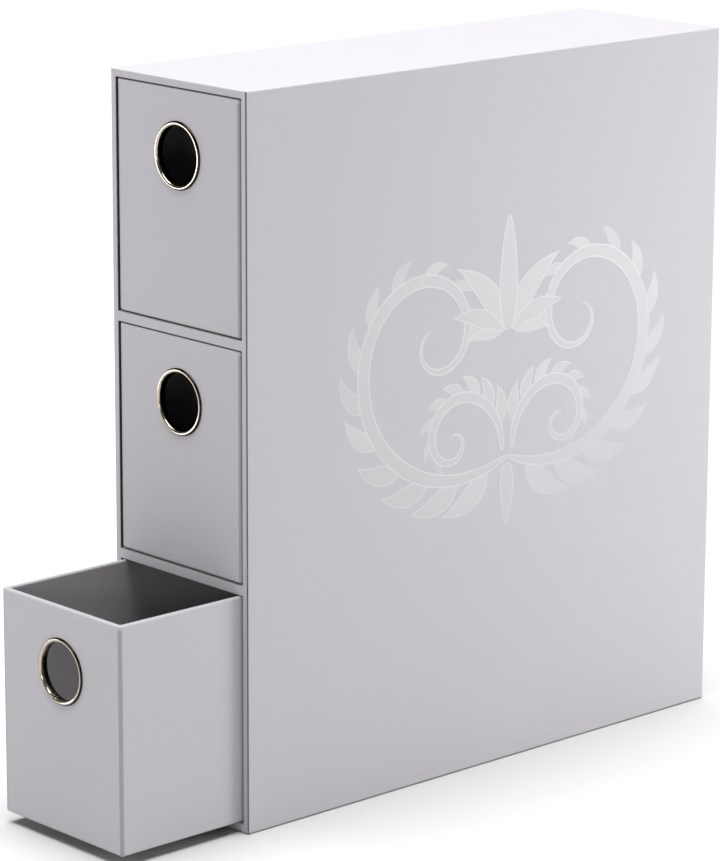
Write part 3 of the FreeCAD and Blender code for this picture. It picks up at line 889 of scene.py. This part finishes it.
# Layers that a motif has: three for leaves that lap over each other, and one for its stem
LAYERS = 4


def scroll_points(centre, radius, start, turn, shrink, count=72):
    """Points along a spiral about a centre, whose radius shrinks to a share of itself over its turn."""
    points = []
    for index in range(count):
        share = index / (count - 1)
        angle = math.radians(start + turn * share)
        reach = radius * shrink**share
        points.append((centre[0] + reach * math.cos(angle), centre[1] + reach * math.sin(angle)))
    return points


def spine(points):
    """A curve object through points of the print's own plane, in millimetres."""
    curve = bpy.data.curves.new("spine", "CURVE")
    curve.dimensions = "3D"
    line = curve.splines.new("POLY")
    line.points.add(len(points) - 1)
    for point, (across, up) in zip(line.points, points):
        point.co = (across / 1000, up / 1000, 0, 1)
    return new_object("spine", curve)


def half_width(width, along, skew, fullness, least=0.00002):
    """Half the width of a pointed shape along its middle line. Skew moves its widest place."""
    return width * 0.5 * ((along**skew) * math.pi).sine() ** fullness + least


def blade(tree, mesh, side, half_width, border, middle, normal):
    """Bends a grid, five vertices across, into a flat pointed blade and marks the faces of its borders."""
    across = side * 2 - 1
    size = across.math("ABSOLUTE")
    mesh = store(tree, mesh, "border", size.over(0.5), "FACE")
    # The five vertices lie on the middle line, at the borders' inner edges and at the outer edges
    inner = (-(border / half_width) + 1).math("MAXIMUM", 0.25)
    share = size.over(0.25) * (inner + (-inner + 1) * size.over(0.75)) * across.math("SIGN")
    offset = half_width * share
    (middle_x, middle_y), (normal_x, normal_y) = middle, normal
    place = vector_of(tree, middle_x + normal_x * offset, middle_y + normal_y * offset)
    return add_node(tree, "GeometryNodeSetPosition", {"Geometry": mesh, "Position": place}).outputs[0]


def scroll_tree():
    """A tapered stem along a spine with leaves beside it, all flat."""
    tree, given = new_geometry_tree(
        "Leafy scroll",
        Int=["Leaf Count", "Seed"],
        Float=["Stem Width", "First Leaf", "Last Leaf", "Leaf Length", "Leaf Width", "Leaf Lean"]
        + ["Leaf Bend", "Shrink", "Border", "Layer"],
        Material=["Material"],
    )
    border = given["Border"]

    stem, along, side = unit_grid(tree, 120, 5)
    sample = add_node(tree, "GeometryNodeSampleCurve", {"Curves": given["Geometry"], "Factor": along})
    stem_x, stem_y, _ = parts_of(tree, sample.outputs["Position"])
    tangent_x, tangent_y, _ = parts_of(tree, sample.outputs["Tangent"])
    half = half_width(given["Stem Width"], along, skew=0.7, fullness=0.6)
    stem = blade(tree, stem, side, half, border, (stem_x, stem_y), (-tangent_y, tangent_x))

    leaf, along, side = unit_grid(tree, 28, 5)
    turned = given["Leaf Bend"] * along
    middle_x = given["Leaf Length"] * turned.sine() / given["Leaf Bend"]
    middle_y = given["Leaf Length"] * (-turned.cosine() + 1) / given["Leaf Bend"]
    half = half_width(given["Leaf Width"], along, skew=0.75, fullness=1.1)
    leaf = blade(tree, leaf, side, half, border, (middle_x, middle_y), (-turned.sine(), turned.cosine()))

    stretch = {"Curve": given["Geometry"], "Start": given["First Leaf"], "End": given["Last Leaf"]}
    trimmed = add_node(tree, "GeometryNodeTrimCurve", stretch).outputs[0]
    places = add_node(tree, "GeometryNodeCurveToPoints", {"Curve": trimmed, "Count": given["Leaf Count"]})
    tangent_x, tangent_y, _ = parts_of(tree, places.outputs["Tangent"])
    index = Number(tree, tree.nodes.new("GeometryNodeInputIndex").outputs[0])
    share = index / (given["Leaf Count"] - 1).math("MAXIMUM", 1)
    size = -(share * given["Shrink"]) + 1
    differ = add_node(tree, "FunctionNodeRandomValue", {2: -0.06, 3: 0.06, "Seed": given["Seed"]})
    heading = tangent_y.math("ARCTAN2", tangent_x) - given["Leaf Lean"]
    angle = heading + Number(tree, differ.outputs[1])
    turn = add_node(tree, "FunctionNodeEulerToRotation", {0: vector_of(tree, 0.0, 0.0, angle)}).outputs[0]
    scale = vector_of(tree, size, size, 1.0)
    inputs = {"Points": places.outputs["Points"], "Instance": leaf, "Rotation": turn, "Scale": scale}
    leaves = add_node(tree, "GeometryNodeInstanceOnPoints", inputs).outputs[0]
    tone = add_node(tree, "FunctionNodeRandomValue", {"Seed": given["Seed"]}).outputs[1]
    leaves = store(tree, leaves, "shade", tone, "INSTANCE")

    raised = vector_of(tree, 0.0, 0.0, index.math("MODULO", LAYERS - 1) * given["Layer"])
    inputs = {"Instances": leaves, "Translation": raised, "Local Space": False}
    leaves = add_node(tree, "GeometryNodeTranslateInstances", inputs).outputs[0]
    raised = vector_of(tree, 0.0, 0.0, given["Layer"] * (LAYERS - 1))
    stem = add_node(tree, "GeometryNodeSetPosition", {"Geometry": stem, "Offset": raised}).outputs[0]

    joined = tree.nodes.new("GeometryNodeJoinGeometry")
    for geometry in (stem, leaves):
        tree.links.new(geometry, joined.inputs[0])
    end_tree(tree, joined.outputs[0], given["Material"])
    return tree


def add_motif(bm, mesh, flip, height):
    """Adds a flat motif to the print at a height, mirrored where flip is -1."""
    before = len(bm.verts)
    bm.from_mesh(mesh)
    bm.verts.ensure_lookup_table()
    place = Matrix.Translation((0, 0, height)) @ Matrix.Scale(flip, 4, (1, 0, 0))
    bmesh.ops.transform(bm, matrix=place, verts=bm.verts[before:])


def leafy(stem, count=0, first=0, last=0, length=10, width=0, lean=0, bend=57.3, shrink=0):
    """The values of a stem and its leaves, from millimetres and degrees."""
    return {
        "Stem Width": stem / 1000,
        "Leaf Count": count,
        "First Leaf": first,
        "Last Leaf": last,
        "Leaf Length": length / 1000,
        "Leaf Width": width / 1000,
        "Leaf Lean": math.radians(lean),
        "Leaf Bend": math.radians(bend),
        "Shrink": shrink,
    }


# Each motif: its line in millimetres, whether it is mirrored too, and its stem and leaves
MOTIFS = (
    (
        scroll_points((47, 8), radius=77, start=-128, turn=560, shrink=0.085),
        True,
        leafy(7.5, count=12, first=0.05, last=0.78, length=36, width=11.5, lean=52, bend=60, shrink=0.62),
    ),
    (
        scroll_points((35, -41), radius=33, start=196, turn=-500, shrink=0.10),
        True,
        leafy(5.5, count=8, first=0.12, last=0.72, length=20, width=7.2, lean=-52, bend=-60, shrink=0.55),
    ),
    (
        scroll_points((0, 4), radius=6, start=72, turn=-50, shrink=1.0),
        True,
        leafy(2, count=3, first=0.0, last=1.0, length=46, width=12, lean=-84, bend=-42, shrink=0.5),
    ),
    ([(0, 8 + 5.5 * step) for step in range(11)], False, leafy(12)),
    ([(0, -56 - 3 * step) for step in range(11)], False, leafy(9)),
)


class CARDBOX_OT_side_print(Operator):
    """Lays the satin scroll print on the cabinet's right side"""

    bl_idname = "cardbox.side_print"
    bl_label = "Lay the Side Print"

    def execute(self, context):
        settings = context.scene.box_print
        cover = context.scene.box_cover
        material = box_materials()["print"]
        tree = scroll_tree()
        shared = {"Border": settings.border, "Layer": settings.layer, "Material": material}
        bm = bmesh.new()
        height = 0.0
        for number, (line, mirrored, values) in enumerate(MOTIFS):
            seeded = {**shared, **values, "Seed": settings.seed + number}
            motif = run_tree("motif", tree, seeded, spine(line))
            for flip in (1, -1) if mirrored else (1,):
                add_motif(bm, motif.data, flip, height)
                height += settings.layer * LAYERS
            bpy.data.objects.remove(motif)
        for face in bm.faces:
            face.normal_update()
            if face.normal.z < 0:
                face.normal_flip()
        piece = new_piece("side_print", bm)
        # The lowest leaves stand a quarter of the film's thickness above the paper
        side = CASE_HIGH.x - cover.print_room + settings.film / 4
        place = Matrix.Translation((side, CASE_LOW.y + settings.behind_front, settings.height))
        upright = Matrix(((0, 0, 1), (1, 0, 0), (0, 1, 0))).to_4x4()
        piece.data.transform(place @ upright)
        thicken(piece, settings.film)
        hand_over(piece, "case", material, [])
        return {"FINISHED"}


# The stage


def aim(thing, place, target, roll=0.0):
    """Puts a light or camera at a place, looking at a target."""
    away = (Vector(place) - Vector(target)).normalized()
    turn = away.to_track_quat("Z", "Y").to_matrix() @ Matrix.Rotation(roll, 3, "Z")
    thing.matrix_world = Matrix.Translation(place) @ turn.to_4x4()


# The softboxes, which the camera doesn't see: width, height, place and target of each
SOFTBOXES = {
    "left": (0.6, 0.26, (-0.85, -0.55, 0.14), (0.0, -0.17, 0.15)),
    "right": (0.5, 0.26, (0.62, 0.8, 0.14), (0.0, 0.0, 0.13)),
    "front": (0.4, 0.2, (0.75, -1.5, 0.43), (0.0, -0.15, 0.10)),
}
CAMERA_PLACE = Vector((1.30554, -1.24509, 0.60186))
CAMERA_VIEW = Vector((-0.71367, 0.65797, -0.24030))
CAMERA_ROLL = math.radians(0.216)


class CARDBOX_OT_stage(Operator):
    """Lays the pale floor and sets the soft lights and the camera"""

    bl_idname = "cardbox.stage"
    bl_label = "Set the Stage"

    def execute(self, context):
        scene = context.scene
        settings = scene.box_stage
        bm = bmesh.new()
        bmesh.ops.create_grid(bm, x_segments=1, y_segments=1, size=settings.floor_size / 2)
        floor = new_piece("studio_floor", bm)
        floor.data.materials.append(floor_material(settings))

        sky = bpy.data.lights.new("overhead", "SUN")
        sky.energy = settings.overhead
        sky.angle = settings.overhead_spread
        aim(new_object("overhead", sky), (0.0, 0.0, 3.0), (0.0, 0.0, 0.0))
        for name, (width, height, place, target) in SOFTBOXES.items():
            light = bpy.data.lights.new(name + "_light", "AREA")
            light.shape = "RECTANGLE"
            light.size, light.size_y = width, height
            light.energy = getattr(settings, name + "_power")
            softbox = new_object(name + "_light", light)
            softbox.visible_camera = False
            aim(softbox, place, target)

        scene.world = bpy.data.worlds.new("surround")
        scene.world.use_nodes = True
        tree = scene.world.node_tree
        background = tree.nodes["Background"]
        background.inputs["Color"].default_value = (1, 1, 1, 1)
        seen = Number(tree, tree.nodes.new("ShaderNodeLightPath").outputs["Is Camera Ray"])
        feed(tree, background.inputs["Strength"], seen * (1 - settings.surround) + settings.surround)

        camera = bpy.data.cameras.new("camera")
        camera.lens = settings.focal_length
        camera.clip_start = 0.05
        scene.camera = new_object("camera", camera)
        aim(scene.camera, CAMERA_PLACE, CAMERA_PLACE + CAMERA_VIEW, CAMERA_ROLL)
        scene.view_settings.view_transform = "Standard"
        return {"FINISHED"}


class CARDBOX_PT_sidebar(Panel):
    """Lists the steps that build the box"""

    bl_idname = "CARDBOX_PT_sidebar"
    bl_label = "Card Storage Box"
    bl_space_type = "VIEW_3D"
    bl_region_type = "UI"
    bl_category = "Card Box"

    def draw(self, context):
        for step in STEPS:
            self.layout.operator(step.bl_idname)
        for name, group in SETTINGS.items():
            box = self.layout.box()
            for key in group.__annotations__:
                box.prop(getattr(context.scene, name), key)


STEPS = (
    CARDBOX_OT_carried_nodes,
    CARDBOX_OT_cabinet_wrap,
    CARDBOX_OT_front_sheet,
    CARDBOX_OT_drawer_wraps,
    CARDBOX_OT_drawer_linings,
    CARDBOX_OT_finger_rings,
    CARDBOX_OT_side_print,
    CARDBOX_OT_stage,
)
SETTINGS = {
    "box_cover": CoverSettings,
    "box_lining": LiningSettings,
    "box_ring": RingSettings,
    "box_print": PrintSettings,
    "box_stage": StageSettings,
}


def register():
    for group in (*SETTINGS.values(), *STEPS, CARDBOX_PT_sidebar):
        bpy.utils.register_class(group)
    for name, group in SETTINGS.items():
        setattr(bpy.types.Scene, name, PointerProperty(type=group))


def unregister():
    for name in SETTINGS:
        delattr(bpy.types.Scene, name)
    for group in (CARDBOX_PT_sidebar, *reversed(STEPS), *reversed(SETTINGS.values())):
        bpy.utils.unregister_class(group)


def main():
    """Builds every piece in order."""
    register()
    bpy.ops.cardbox.carried_nodes()
    bpy.ops.cardbox.cabinet_wrap()
    bpy.ops.cardbox.front_sheet()
    bpy.ops.cardbox.drawer_wraps()
    bpy.ops.cardbox.drawer_linings()
    bpy.ops.cardbox.finger_rings()
    bpy.ops.cardbox.side_print()
    bpy.ops.cardbox.stage()


if __name__ == "__main__":
    main()
